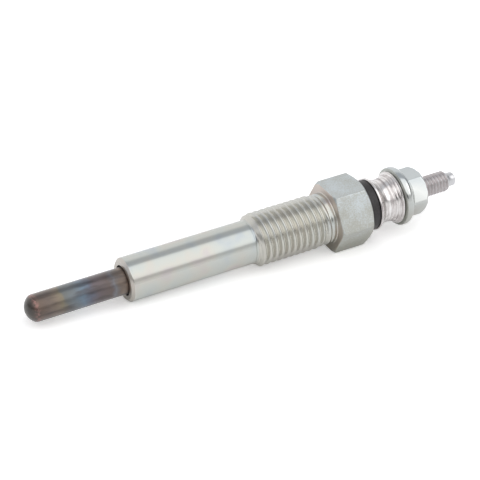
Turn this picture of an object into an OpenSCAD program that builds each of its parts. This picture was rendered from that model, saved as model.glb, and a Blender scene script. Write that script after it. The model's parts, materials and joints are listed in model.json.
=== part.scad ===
// Diesel glow plug with a metal heater tube and a screw terminal, in millimetres.
// The axis lies along X, with the heater tip towards -X and the terminal towards +X.
// The origin is on the axis, in the plane of the housing's front face, and +Z is up.
// The mounting thread and the stud thread are plain cylinders of their major diameter.

/* [Heater tube] */
// Outside diameter of the tube
sheath_d = 5; // [4.6:0.1:5.2]
// Wall of the tube
sheath_wall = 0.55; // [0.4:0.05:0.65]
// How far the tube reaches out of the housing, with its nose
sheath_reach = 18.65; // [16:0.05:26]
// Height of the dome on the nose, from the tube's shoulder on
nose_h = 1.55; // [1:0.05:2.2]
// How far the tube reaches into the housing
sheath_seat = 20; // [16:0.5:24]
// Thickness of the weld that closes the nose
nose_weld = 2.1; // [1.6:0.1:2.4]
// Length of the seal in the tube's open end
seal_l = 3; // [2:0.5:4]

/* [Heating element] */
// Diameter of the coil wires
wire_d = 0.4; // [0.3:0.05:0.45]
// Diameter of the coils, to the middle of the wire
coil_d = 2.4; // [2.2:0.1:2.6]
// Turns of the heating coil
heating_turns = 7; // [4:1:9]
// Rise of the heating coil in one turn
heating_pitch = 0.85; // [0.6:0.05:1]
// Turns of the control coil
control_turns = 8; // [4:1:10]
// Rise of the control coil in one turn
control_pitch = 0.7; // [0.6:0.05:0.8]
// Bend where a coil end turns along the axis to its weld
lead_bend = 0.6; // [0.4:0.05:0.8]

/* [Housing] */
// Diameter of the plain shank
shank_d = 8.2; // [7.8:0.1:8.6]
// Length of the shank, from the front face to the thread
shank_l = 25.2; // [24.5:0.1:40]
// Chamfer on the shank's front edge
front_chamfer = 0.5; // [0.2:0.1:0.8]
// Gap around the tube at the front face
front_gap = 0.3; // [0.1:0.05:0.4]
// Depth of that gap
front_gap_l = 4; // [1:0.5:8]
// Major diameter of the mounting thread
thread_d = 10; // [9.6:0.1:12]
// Length of the mounting thread with its lead
thread_l = 13.5; // [8:0.1:25]
// How far the neck between the thread and the hexagon lies below the thread
neck_depth = 0.2; // [0.1:0.05:0.6]
// Length of the neck
neck_l = 2.65; // [1:0.05:6]
// Cone in the corner between the neck and the hexagon
neck_cone = 0.5; // [0.1:0.05:0.6]
// Bore that clears the centre pole
bore_d = 5.4; // [5.3:0.1:6]

/* [Hexagon] */
// Width of the housing's hexagon across its flats
hex_af = 12; // [11:0.5:14]
// Length of the hexagon
hex_l = 7.05; // [6:0.05:12]
// How far the rear chamfer cuts in from the corners
hex_rear_cut = 1.05; // [0.6:0.05:1.4]
// How far the front chamfer cuts in from the corners
hex_front_cut = 0.6; // [0.1:0.1:1]
// Angle between these chamfers and the faces that they run into
hex_chamfer_angle = 30; // [15:5:45]

/* [Insulation] */
// Counterbore for the bush and the O-ring
counterbore_d = 7; // [6.4:0.1:7.6]
// Diameter of the bush's flange
bush_flange_d = 9.5; // [9:0.1:10.4]
// Thickness of the bush's flange
bush_flange_l = 2.3; // [1:0.1:4]
// Edge break on the bush's flange
bush_edge = 0.15; // [0.05:0.05:0.4]
// Length of the bush inside the housing
bush_spigot_l = 3; // [2:0.1:4]

/* [Collar] */
// Diameter of the collar's rims
collar_d = 10; // [9:0.1:10.6]
// Diameter of the rolled waist
waist_d = 8.3; // [7:0.1:8.8]
// Width of the rolled waist
waist_w = 4.6; // [3:0.1:6]
// Length of the front rim
front_rim_l = 0.4; // [0.2:0.1:1]
// Length of the rear rim
rear_rim_l = 0.3; // [0.1:0.1:1]
// Number of grooves that the rolling left behind the waist
roll_count = 3; // [1:1:4]
// Distance from one groove to the next
roll_pitch = 0.5; // [0.45:0.05:0.6]
// Diameter of the round section that cuts a groove
roll_d = 0.4; // [0.3:0.05:0.4]
// Depth of a groove
roll_depth = 0.08; // [0.04:0.01:0.12]

/* [Terminal] */
// Diameter of the centre pole behind the tube, which is the blank of its thread
pole_d = 3.5; // [3.2:0.1:3.7]
// How far the pole's front face stands out around the coil's end
pole_front_land = 0.1; // [0.05:0.05:0.2]
// Length of the pole's spigot inside the control coil
pole_spigot_l = 2; // [1:0.1:3]
// Gap between the spigot and the coil
spigot_gap = 0.25; // [0.15:0.05:0.4]
// Distance from the tube's open end to where the pole gets thicker
pole_step_gap = 1; // [0.5:0.1:3]
// Major diameter of the stud's thread
stud_d = 4; // [3.8:0.1:4.2]
// Length of thread that stands out of the nut
stud_free_l = 5.8; // [2:0.1:12]
// Length of the cone from the thread to the dog point
dog_cone_l = 0.9; // [0.4:0.1:1.5]
// Diameter of the dog point
dog_d = 2.6; // [2:0.1:3]
// Length of the dog point
dog_l = 1.25; // [0.75:0.05:3]
// Chamfer on the dog point's end
dog_chamfer = 0.2; // [0.1:0.05:0.4]

/* [Nut] */
// Width of the nut across its flats
nut_af = 8; // [7.5:0.1:8.5]
// Height of the nut with its flange
nut_h = 5.5; // [4.5:0.1:7]
// Diameter of the nut's flange
flange_d = 11.2; // [10:0.1:12]
// Thickness of the flange at its rim
flange_rim = 1.3; // [0.8:0.1:1.6]
// Edge break on the flange's front
flange_edge = 0.4; // [0.1:0.05:0.6]
// Height of the flange where its cone meets the hexagon
flange_h = 2.3; // [1.9:0.1:2.8]
// How far the nut's chamfer cuts in from its corners
nut_cut = 0.6; // [0.3:0.1:1]
// Angle between that chamfer and the nut's rear face
nut_chamfer_angle = 45; // [30:5:50]
// How far the nut's flats are turned from the housing's
nut_turn = -4; // [-30:1:30]
// Chamfer at the mouth of the nut's thread
nut_mouth = 0.25; // [0.1:0.05:0.5]

/* [Fits] */
// Radial clearance of the pieces that slip over the stud
slip = 0.05; // [0.02:0.01:0.1]

/* [Hidden] */
$fn = 96;

// Colours as the photograph shows them, or as the materials have them inside
zinc_colour = "#c6c9c2";
tinted_colour = "#6f6662";
coil_colour = "#8d8a86";
magnesia_colour = "#e9e6de";
rubber_colour = "#2b2a2c";
pole_colour = "#9a9296";
bush_colour = "#37353a";
aluminium_colour = "#c9c2c2";

// Corner of a hexagon of width 1 across its flats, as a radius
hex_corner = 0.5 / cos(30);
// How far a cut runs past the face that it opens, and a solid into the one that it is part of
past = 1;

// Heater tube: the dome is a cap of a sphere that starts at the tube's shoulder
nose_r = (pow(sheath_d / 2, 2) + pow(nose_h, 2)) / (2 * nose_h);
shoulder_x = nose_h - sheath_reach;
cavity_d = sheath_d - 2 * sheath_wall;
cavity_x = nose_weld - sheath_reach;
seal_x = sheath_seat - seal_l;

// Rings of wire in one turn of a coil and in one lead bend, and sides of the wire
turn_steps = 12;
lead_steps = 4;
wire_sides = 6;
// Turn of a coil along one lead bend, in degrees
lead_turn = lead_bend / (coil_d / 2) * 180 / PI;

// Coils in series from the weld in the nose to the front face of the pole
heating_x = cavity_x + lead_bend;
control_x = heating_x + heating_turns * heating_pitch;
control_end_x = control_x + control_turns * control_pitch;
pole_x = control_end_x + lead_bend;
pole_front_d = coil_d + wire_d + 2 * pole_front_land;
pole_spigot_d = coil_d - wire_d - 2 * spigot_gap;

// Places of the housing's steps along the axis
thread_x = shank_l;
lead_l = (thread_d - shank_d) / 2;
neck_d = thread_d - 2 * neck_depth;
neck_x = thread_x + thread_l;
hex_x = neck_x + neck_l;
rear_x = hex_x + hex_l;

// O-ring that fills the counterbore around the pole
o_ring_d = (counterbore_d - pole_d) / 2;
counterbore_x = rear_x - bush_spigot_l - o_ring_d;

// Pieces stacked behind the housing
collar_x = rear_x + bush_flange_l;
nut_x = collar_x + front_rim_l + waist_w + rear_rim_l;
nut_rear_x = nut_x + nut_h;
cone_x = nut_rear_x + stud_free_l;
dog_x = cone_x + dog_cone_l;
dog_end_x = dog_x + dog_l;

// Rolled waist: an arc of the waist's width and depth, which squeezes the bore onto the pole
waist_x = collar_x + front_rim_l + waist_w / 2;
waist_depth = (collar_d - waist_d) / 2;
waist_arc = (pow(waist_w / 2, 2) + pow(waist_depth, 2)) / (2 * waist_depth);
slip_d = stud_d + 2 * slip;

// Radius of the waist's surface at x
function waist_r(x) = waist_d / 2 + waist_arc - sqrt(pow(waist_arc, 2) - pow(x - waist_x, 2));

// Places children that stand on Z along the axis, from x on
module on_axis(x) {
    translate([x, 0, 0])
        rotate([0, 90, 0])
            children();
}

// Round bar from x0 to x1
module bar(x0, x1, d) {
    on_axis(x0)
        cylinder(h = x1 - x0, d = d);
}

// Solid turned from an outline of [diameter, x] points
module turned(outline) {
    on_axis(0)
        rotate_extrude()
            polygon([for (p = outline) [p[0] / 2, p[1]]]);
}

// Ring turned from a round section of diameter d, with its middle at [ring_d, x]
module turned_ring(ring_d, x, d) {
    on_axis(x)
        rotate_extrude()
            translate([ring_d / 2, 0])
                circle(d = d);
}

// Hexagon from x0 to x1 with flats up and down, or turned from there, whose corners are cut in by
// front_cut and rear_cut at chamfers of the given angle
module hexagon(x0, x1, af, front_cut, rear_cut, angle, turn = 0) {
    corner_d = 2 * af * hex_corner;
    front_l = front_cut * tan(angle);
    rear_l = rear_cut * tan(angle);
    intersection() {
        on_axis(x0)
            rotate(30 + turn)
                cylinder(h = x1 - x0, d = corner_d, $fn = 6);
        turned([
            [0, x0], [corner_d - 2 * front_cut, x0], [corner_d, x0 + front_l],
            [corner_d, x1 - rear_l], [corner_d - 2 * rear_cut, x1], [0, x1]
        ]);
    }
}

// Points of one ring of wire at x and at the angle phi round the axis. The wire runs along the axis
// where lean is 0, and round the axis where it is 90.
function wire_ring(x, phi, lean) =
    let (
        out = [0, cos(phi), sin(phi)],
        across = [sin(lean), cos(lean) * sin(phi), -cos(lean) * cos(phi)]
    )
    [for (k = [0:wire_sides - 1])
        let (t = 360 * k / wire_sides)
        [x, 0, 0] + out * (coil_d + wire_d * cos(t)) / 2 + across * wire_d * sin(t) / 2];

// Rings of a bend from the axis' direction into the turns, from x on
function lead_in(x) = [
    for (i = [0:lead_steps - 1])
        let (a = 90 * i / lead_steps)
        wire_ring(x + lead_bend * sin(a), lead_turn * (1 - cos(a)), a)
];

// Rings of the turns, from x and phi on
function coil_turns(x, phi, turns, pitch) = [
    for (i = [0:turns * turn_steps])
        wire_ring(x + pitch * i / turn_steps, phi + 360 * i / turn_steps, 90)
];

// Rings of a bend from the turns back into the axis' direction, from x and phi on
function lead_out(x, phi) = [
    for (i = [1:lead_steps])
        let (a = 90 * i / lead_steps)
        wire_ring(x + lead_bend * (1 - cos(a)), phi + lead_turn * sin(a), 90 - a)
];

// Rings of each coil, which share the ring at their weld
function heating_rings() = concat(
    lead_in(cavity_x),
    coil_turns(heating_x, lead_turn, heating_turns, heating_pitch)
);
function control_rings() = concat(
    coil_turns(control_x, lead_turn, control_turns, control_pitch),
    lead_out(control_end_x, lead_turn)
);

// Closed wire through a list of rings
module wire(rings) {
    last = len(rings) - 1;
    sides = [
        for (i = [0:last - 1], k = [0:wire_sides - 1])
            let (
                a = i * wire_sides + k,
                b = i * wire_sides + (k + 1) % wire_sides,
                c = a + wire_sides,
                d = b + wire_sides
            )
            each [[a, b, c], [b, d, c]]
    ];
    front_end = [for (k = [wire_sides - 1:-1:0]) k];
    rear_end = [for (k = [0:wire_sides - 1]) last * wire_sides + k];
    polyhedron(points = [for (ring = rings) each ring], faces = concat([front_end], sides, [rear_end]));
}

// Turned steel shell with its shank, mounting thread, neck and hexagon
module housing() {
    color(zinc_colour)
        difference() {
            union() {
                turned([
                    [0, 0], [shank_d - 2 * front_chamfer, 0], [shank_d, front_chamfer],
                    [shank_d, thread_x], [thread_d, thread_x + lead_l],
                    [thread_d, neck_x - neck_depth], [neck_d, neck_x], [neck_d, hex_x - neck_cone],
                    [neck_d + 2 * neck_cone, hex_x], [neck_d, hex_x + past], [0, hex_x + past]
                ]);
                hexagon(hex_x, rear_x, hex_af, hex_front_cut, hex_rear_cut, hex_chamfer_angle);
            }
            turned([
                [0, -past], [sheath_d + 2 * front_gap, -past], [sheath_d + 2 * front_gap, front_gap_l],
                [sheath_d, front_gap_l], [sheath_d, sheath_seat], [bore_d, sheath_seat],
                [bore_d, counterbore_x], [counterbore_d, counterbore_x],
                [counterbore_d, rear_x + past], [0, rear_x + past]
            ]);
        }
}

// Closed-end alloy tube with a domed nose, pressed into the housing
module heater_sheath() {
    color(tinted_colour)
        difference() {
            union() {
                intersection() {
                    bar(-sheath_reach, shoulder_x + past, sheath_d);
                    on_axis(nose_r - sheath_reach)
                        sphere(r = nose_r);
                }
                bar(shoulder_x, sheath_seat, sheath_d);
            }
            bar(cavity_x, sheath_seat + past, cavity_d);
        }
}

// Coil that glows, from the weld in the nose to the control coil
module heating_coil() {
    color(coil_colour)
        wire(heating_rings());
}

// Coil that limits the current, from the heating coil to the pole
module control_coil() {
    color(coil_colour)
        wire(control_rings());
}

// Compacted powder that fills the tube around the coils and the pole, up to the seal. The hollow for
// the coils is one wire through both, which runs on past the weld and into the pole.
module magnesia_fill() {
    hollow = concat(
        [wire_ring(cavity_x - past, 0, 0)],
        heating_rings(),
        [for (i = [1:len(control_rings()) - 1]) control_rings()[i]],
        [wire_ring(pole_x + past, 2 * lead_turn, 0)]
    );
    color(magnesia_colour)
        difference() {
            bar(cavity_x, seal_x, cavity_d);
            centre_pole();
            wire(hollow);
        }
}

// Ring that closes the tube's open end around the pole
module sheath_seal() {
    color(rubber_colour)
        difference() {
            bar(seal_x, sheath_seat, cavity_d);
            bar(seal_x - past, sheath_seat + past, pole_front_d);
        }
}

// Steel rod from the coils to the terminal stud with its dog point
module centre_pole() {
    step_x = sheath_seat + pole_step_gap;
    step_l = (pole_d - pole_front_d) / 2;
    color(pole_colour)
        turned([
            [0, pole_x - pole_spigot_l], [pole_spigot_d, pole_x - pole_spigot_l], [pole_spigot_d, pole_x],
            [pole_front_d, pole_x], [pole_front_d, step_x], [pole_d, step_x + step_l],
            [pole_d, nut_x], [stud_d, nut_x], [stud_d, cone_x], [dog_d, dog_x],
            [dog_d, dog_end_x - dog_chamfer], [dog_d - 2 * dog_chamfer, dog_end_x], [0, dog_end_x]
        ]);
}

// Seal between the pole and the housing, under the bush
module o_ring() {
    color(rubber_colour)
        turned_ring(pole_d + o_ring_d, counterbore_x + o_ring_d / 2, o_ring_d);
}

// Stepped bush that keeps the pole and the collar off the housing
module insulating_bush() {
    color(bush_colour)
        difference() {
            turned([
                [0, rear_x - bush_spigot_l], [counterbore_d, rear_x - bush_spigot_l],
                [counterbore_d, rear_x], [bush_flange_d - 2 * bush_edge, rear_x],
                [bush_flange_d, rear_x + bush_edge], [bush_flange_d, collar_x - bush_edge],
                [bush_flange_d - 2 * bush_edge, collar_x], [0, collar_x]
            ]);
            bar(rear_x - bush_spigot_l - past, collar_x + past, slip_d);
        }
}

// Aluminium collar, rolled to a waist whose inside grips the pole
module crimp_collar() {
    grip_l = waist_w / 2;
    color(aluminium_colour)
        difference() {
            bar(collar_x, nut_x, collar_d);
            turned_ring(waist_d + 2 * waist_arc, waist_x, 2 * waist_arc);
            for (k = [1:roll_count]) {
                x = nut_x - rear_rim_l - (k - 0.5) * roll_pitch;
                turned_ring(2 * (waist_r(x) - roll_depth) + roll_d, x, roll_d);
            }
            turned([
                [0, collar_x - past], [slip_d, collar_x - past], [slip_d, waist_x - grip_l],
                [pole_d, waist_x - grip_l / 2], [pole_d, waist_x + grip_l / 2], [slip_d, waist_x + grip_l],
                [slip_d, nut_x + past], [0, nut_x + past]
            ]);
        }
}

// Hexagon nut with a flange, screwed down on the collar
module flange_nut() {
    // The flange's cone ends midway between the flats and the corners
    cone_d = nut_af * (0.5 + hex_corner);
    color(zinc_colour)
        difference() {
            union() {
                turned([
                    [0, nut_x], [flange_d - 2 * flange_edge, nut_x], [flange_d, nut_x + flange_edge],
                    [flange_d, nut_x + flange_rim], [cone_d, nut_x + flange_h], [0, nut_x + flange_h]
                ]);
                hexagon(nut_x, nut_rear_x, nut_af, nut_cut, nut_cut, nut_chamfer_angle, nut_turn);
            }
            bar(nut_x - past, nut_rear_x + past, slip_d);
            turned([
                [0, nut_rear_x - nut_mouth], [slip_d, nut_rear_x - nut_mouth],
                [slip_d + 2 * (nut_mouth + past), nut_rear_x + past], [0, nut_rear_x + past]
            ]);
        }
}

housing();
heater_sheath();
heating_coil();
control_coil();
magnesia_fill();
sheath_seal();
centre_pole();
o_ring();
insulating_bush();
crimp_collar();
flange_nut();
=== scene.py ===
"""Diesel glow plug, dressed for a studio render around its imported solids.

The axis runs along X, from the heater tip at -X to the screw terminal at +X, with +Z up and the origin on
the axis in the plane of the housing's front face. The six pieces that show are turned surfaces, finer than
the solids, with cut threads, rounded edges and rolled ridges. Sizes are millimetres, and the meshes are
written in metres.
"""

from __future__ import annotations

import json
import logging
import math
from abc import ABC, abstractmethod
from dataclasses import dataclass, field
from enum import Enum
from functools import partial

import bpy
import numpy as np
from mathutils import Matrix, Vector


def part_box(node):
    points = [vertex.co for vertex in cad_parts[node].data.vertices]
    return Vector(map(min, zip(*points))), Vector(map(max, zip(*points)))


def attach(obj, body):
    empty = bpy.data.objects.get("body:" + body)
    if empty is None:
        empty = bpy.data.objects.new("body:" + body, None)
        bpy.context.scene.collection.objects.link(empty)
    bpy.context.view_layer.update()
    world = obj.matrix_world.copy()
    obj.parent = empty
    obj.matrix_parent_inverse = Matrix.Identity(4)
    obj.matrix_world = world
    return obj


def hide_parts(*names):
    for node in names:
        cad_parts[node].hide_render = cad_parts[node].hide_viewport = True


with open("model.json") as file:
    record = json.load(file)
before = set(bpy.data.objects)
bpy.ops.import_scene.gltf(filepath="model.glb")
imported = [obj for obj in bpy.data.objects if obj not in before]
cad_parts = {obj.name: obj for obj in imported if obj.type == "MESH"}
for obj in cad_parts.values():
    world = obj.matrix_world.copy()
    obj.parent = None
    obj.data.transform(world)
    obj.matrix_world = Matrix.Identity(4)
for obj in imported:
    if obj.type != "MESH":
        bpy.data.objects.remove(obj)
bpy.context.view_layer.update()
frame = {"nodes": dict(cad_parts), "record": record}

MM = 0.001
TAU = 2.0 * math.pi
SEXTANT = math.pi / 3.0
# Mean of a noise texture's values, the range that holds nearly all of them, and a fine grain's octaves
NOISE_MEAN = 0.5
NOISE_RANGE = (0.35, 0.65)
OCTAVES = 3.0
# Largest shares of a side at which the rounding of its corner starts and its guard point lies
SIDE_SHARE = 0.4
GUARD_SHARE = 0.48
# Added to lengths before they divide, so that none of them is zero
TINY = 1e-9
# Radius of the last ring of points before the axis
HUB_R = 0.1
BODY = "root"
log = logging.getLogger("glow_plug")


class Slot(Enum):
    """The record's material slots of the pieces that show."""

    ZINC = "zinc_plated_steel"
    TINTED = "heat_tinted_alloy"
    POLE = "pole_steel"
    BUSH = "bush_plastic"
    ALUMINIUM = "rolled_aluminium"


class Ends(Enum):
    """How the outline of a turned piece ends."""

    LOOP = "it closes on itself, round a bore"
    AXIS = "both of its ends are closed on the axis"


def linear(code: str) -> tuple[float, ...]:
    """Turns an sRGB hex colour into linear light.

    Args:
        code: The colour as "#rrggbb".

    Returns:
        Linear red, green and blue, and an alpha of 1.
    """
    parts = [int(code[i : i + 2], 16) / 255.0 for i in (1, 3, 5)]
    light = [p / 12.92 if p <= 0.04045 else ((p + 0.055) / 1.055) ** 2.4 for p in parts]
    return (*light, 1.0)


def per_metre(size: float) -> float:
    """Scale of a texture whose features are `size` millimetres wide, on coordinates in metres."""
    return 1.0 / (size * MM)


def spread(reach: tuple[float, float], codes: tuple[str, ...]) -> list[tuple[float, str]]:
    """Colour stops at equal steps over a range."""
    return list(zip(np.linspace(*reach, len(codes)), codes))


def add(
    tree: bpy.types.NodeTree,
    kind: str,
    inputs: dict | None = None,
    stops: list[tuple[float, str]] | None = None,
    **settings: object,
) -> bpy.types.Node:
    """Adds one node with its settings, values and links.

    Args:
        tree: The node tree that gets the node.
        kind: The node's type name, without the ShaderNode that all of them start with.
        inputs: What goes into its inputs, by the input's name or number: a value, an output socket, or a
            node, which stands for its first output in use.
        stops: Positions and hex colours, where the node is a colour ramp.
        settings: The node's own properties.

    Returns:
        The new node.
    """
    node = tree.nodes.new(f"ShaderNode{kind}")
    for name, value in settings.items():
        setattr(node, name, value)
    for key, value in (inputs or {}).items():
        named = (s for s in node.inputs if s.enabled and s.name == key)
        socket = node.inputs[key] if isinstance(key, int) else next(named)
        if isinstance(value, bpy.types.Node):
            value = next(s for s in value.outputs if s.enabled)
        if isinstance(value, bpy.types.NodeSocket):
            tree.links.new(value, socket)
        else:
            socket.default_value = value
    if stops:
        elements = node.color_ramp.elements
        while len(elements) < len(stops):
            elements.new(1.0)
        for element, (position, code) in zip(elements, stops):
            element.position = position
            element.color = linear(code)
    return node


def ease(t: np.ndarray) -> np.ndarray:
    """Smooth step 3 t^2 - 2 t^3 from 0 to 1, level outside."""
    t = np.clip(t, 0.0, 1.0)
    return t * t * (3.0 - 2.0 * t)


def round_angles(count: int) -> np.ndarray:
    """Equal steps round the axis, from +Y towards +Z."""
    return np.arange(count) * (TAU / count)


def outline(columns: int, *corners: tuple[float | np.ndarray, float | np.ndarray]) -> np.ndarray:
    """Carries outline corners round the axis.

    Args:
        columns: Number of columns round the axis.
        corners: Place along the axis and radius of each corner, either of them one number for all
            columns or one number a column.

    Returns:
        Place and radius on a grid of corners by columns by 2.
    """
    blank = np.zeros(columns)
    return np.array([[x + blank, r + blank] for x, r in corners]).transpose(0, 2, 1)


def soften(corners: np.ndarray, reach: float | tuple[float, ...], steps: int = 5) -> np.ndarray:
    """Rounds the inner corners of an outline.

    A corner b gives way to the curve (1 - t)^2 a + 2 t (1 - t) b + t^2 c, where a and c lie `reach` before
    and after it, or less on a short side. One more point beyond a and one beyond c, up to twice as far from
    the corner, keep the straight stretches straight under smooth shading.

    Args:
        corners: Grid of corners by columns by 2.
        reach: How far from the corner the rounding starts, for all inner corners or one for each.
        steps: Stretches in each rounding.

    Returns:
        Grid of rows by columns by 2, with the first and last corner as they were.
    """
    here = corners[1:-1]
    back, ahead = corners[:-2] - here, corners[2:] - here
    back_l = np.linalg.norm(back, axis=-1, keepdims=True) + TINY
    ahead_l = np.linalg.norm(ahead, axis=-1, keepdims=True) + TINY
    near = np.minimum(np.reshape(reach, (-1, 1, 1)), SIDE_SHARE * np.minimum(back_l, ahead_l))
    before = here + back / back_l * near
    after = here + ahead / ahead_l * near
    t = np.linspace(0.0, 1.0, steps + 1)[:, None, None, None]
    curve = (1.0 - t) ** 2 * before + 2.0 * t * (1.0 - t) * here + t**2 * after
    guard_before = here + back / back_l * np.minimum(2.0 * near, GUARD_SHARE * back_l)
    guard_after = here + ahead / ahead_l * np.minimum(2.0 * near, GUARD_SHARE * ahead_l)
    rounded = np.concatenate([guard_before[None], curve, guard_after[None]])
    rounded = rounded.transpose(1, 0, 2, 3).reshape(-1, *corners.shape[1:])
    return np.concatenate([corners[:1], rounded, corners[-1:]])


@dataclass(frozen=True)
class Span:
    """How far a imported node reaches: its two ends along the axis and its radius towards +Z."""

    start: float
    end: float
    radius: float

    @classmethod
    def of(cls, node: str) -> Span:
        """Reads a node's reach from the frame."""
        low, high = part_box(node)
        return cls(low.x / MM, high.x / MM, high.z / MM)


@dataclass
class Turned:
    """A surface turned about the X axis.

    Row i and column j give the point (x, r cos phi, r sin phi): a function of the way along the outline
    and of the angle phi round the axis, from +Y towards +Z. The outside of the outline runs towards +X
    and the inside back towards -X, which makes the faces point outwards.
    """

    phi: np.ndarray
    rows: np.ndarray
    ends: Ends
    marks: dict[str, np.ndarray] = field(default_factory=dict)

    def mesh(self, name: str) -> bpy.types.Mesh:
        """Puts the surface into a mesh, with its marks as point attributes.

        Args:
            name: The mesh's name.

        Returns:
            The closed and smoothly shaded mesh.
        """
        x, r = self.rows[..., 0], self.rows[..., 1]
        points = np.stack([x, r * np.cos(self.phi), r * np.sin(self.phi)], axis=-1).reshape(-1, 3)
        index = np.arange(x.size).reshape(x.shape)
        grid = np.vstack([index, index[:1]]) if self.ends is Ends.LOOP else index
        across = np.roll(grid, -1, axis=1)
        faces = np.stack([grid[:-1], across[:-1], across[1:], grid[1:]], axis=-1).reshape(-1, 4).tolist()
        poles = 0
        if self.ends is Ends.AXIS:
            poles = 2
            first = np.full(x.shape[1], len(points))
            points = np.vstack([points, [[x[0, 0], 0.0, 0.0], [x[-1, 0], 0.0, 0.0]]])
            faces += np.stack([first, across[0], grid[0]], axis=-1).tolist()
            faces += np.stack([first + 1, grid[-1], across[-1]], axis=-1).tolist()
        mesh = bpy.data.meshes.new(name)
        mesh.from_pydata(points * MM, [], faces)
        for mark, values in self.marks.items():
            data = np.concatenate([values.reshape(-1), np.zeros(poles)]).astype(np.float32)
            mesh.attributes.new(mark, "FLOAT", "POINT").data.foreach_set("value", data)
        mesh.shade_smooth()
        return mesh


@dataclass(frozen=True)
class Hexagon:
    """Section of a hexagon bar with rounded edges, as a radius for each angle."""

    flats: float
    edge_r: float
    turn: float = 0.0
    flat_columns: int = 22
    edge_columns: int = 9

    @property
    def corner_r(self) -> float:
        """Distance from the axis to a corner, were it sharp."""
        return self.flats / math.sqrt(3.0)

    @property
    def edge_centre(self) -> float:
        """Distance from the axis to the centre of an edge's rounding."""
        return (self.flats / 2.0 - self.edge_r) / math.cos(SEXTANT / 2.0)

    @property
    def edge_half(self) -> float:
        """Half the angle that a rounded edge takes up, seen from the axis."""
        return math.atan2(0.5 * self.edge_r, self.edge_centre + self.edge_r * math.cos(SEXTANT / 2.0))

    def angles(self) -> np.ndarray:
        """Works out the section's columns, close together on the rounded edges.

        Returns:
            Angles round the axis.
        """
        half = self.edge_half
        edge = np.linspace(-half, half, self.edge_columns, endpoint=False)
        flat = np.linspace(half, SEXTANT - half, self.flat_columns, endpoint=False)
        side = np.concatenate([edge, flat])
        return (np.arange(6)[:, None] * SEXTANT + side + math.radians(self.turn)).reshape(-1)

    def radius(self, phi: np.ndarray) -> np.ndarray:
        """Radius at an angle.

        On a flat it is half the width over the cosine of the angle from the flat's middle. On an edge it
        is the far root of the rounding's circle, c cos a + sqrt(e^2 - c^2 sin^2 a), where c is the circle's
        distance from the axis, e its radius and a the angle from the edge.

        Args:
            phi: Angles round the axis.

        Returns:
            The radius at each angle.
        """
        away = np.mod(phi - math.radians(self.turn) + SEXTANT / 2.0, SEXTANT) - SEXTANT / 2.0
        flat = self.flats / 2.0 / np.cos(SEXTANT / 2.0 - np.abs(away))
        under = np.maximum(self.edge_r**2 - (self.edge_centre * np.sin(away)) ** 2, 0.0)
        edge = self.edge_centre * np.cos(away) + np.sqrt(under)
        return np.where(np.abs(away) < self.edge_half, edge, flat)


@dataclass(frozen=True)
class Thread:
    """A right-hand metric thread, cut into a cylinder of its crest radius."""

    crest_r: float
    pitch: float
    # Depth over pitch: 0.6134 on a clean metric thread, less where plate and burrs fill its roots
    depth_share: float = 0.6134
    crest_flat: float = 0.1
    root_flat: float = 0.06
    # How far the straight flanks give way to a rolled, round ridge
    rounding: float = 0.5
    # Share of a turn by which the helix is turned back
    turned: float = 0.0
    rows_a_turn: int = 26

    @property
    def root_r(self) -> float:
        """Radius of the groove's root."""
        return self.crest_r - self.depth_share * self.pitch

    def places(self, start: float, end: float) -> np.ndarray:
        """Places along the axis, as a column of rows."""
        count = round((end - start) / self.pitch * self.rows_a_turn)
        return np.linspace(start, end, count)[:, None]

    def height(self, x: np.ndarray, phi: np.ndarray) -> np.ndarray:
        """Height of the ridge, 0 at the root and 1 at the crest.

        The phase x / pitch - phi / full turn - turned is the same all along one helix. Across it the ridge
        has a flat root, two flanks and a flat crest, with the corners eased by the rounding.

        Args:
            x: Places along the axis, a column.
            phi: Angles round the axis, a row.

        Returns:
            Heights on the grid of places by angles.
        """
        phase = np.mod(x / self.pitch - phi / TAU - self.turned, 1.0)
        from_root = 2.0 * np.abs(phase - 0.5)
        flank = (from_root - self.root_flat) / (1.0 - self.root_flat - self.crest_flat)
        return (1.0 - self.rounding) * np.clip(flank, 0.0, 1.0) + self.rounding * ease(flank)


class Finish(ABC):
    """A finish: one named procedural material."""

    name: str

    @abstractmethod
    def shader(self, tree: bpy.types.NodeTree) -> bpy.types.Node:
        """Adds the nodes of the finish.

        Args:
            tree: The material's node tree.

        Returns:
            The shader.
        """

    def material(self) -> bpy.types.Material:
        """Makes the material and links its shader to the output.

        Returns:
            The material.
        """
        made = bpy.data.materials.new(self.name)
        made.use_nodes = True
        made.node_tree.nodes.clear()
        add(made.node_tree, "OutputMaterial", {"Surface": self.shader(made.node_tree)})
        return made


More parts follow.
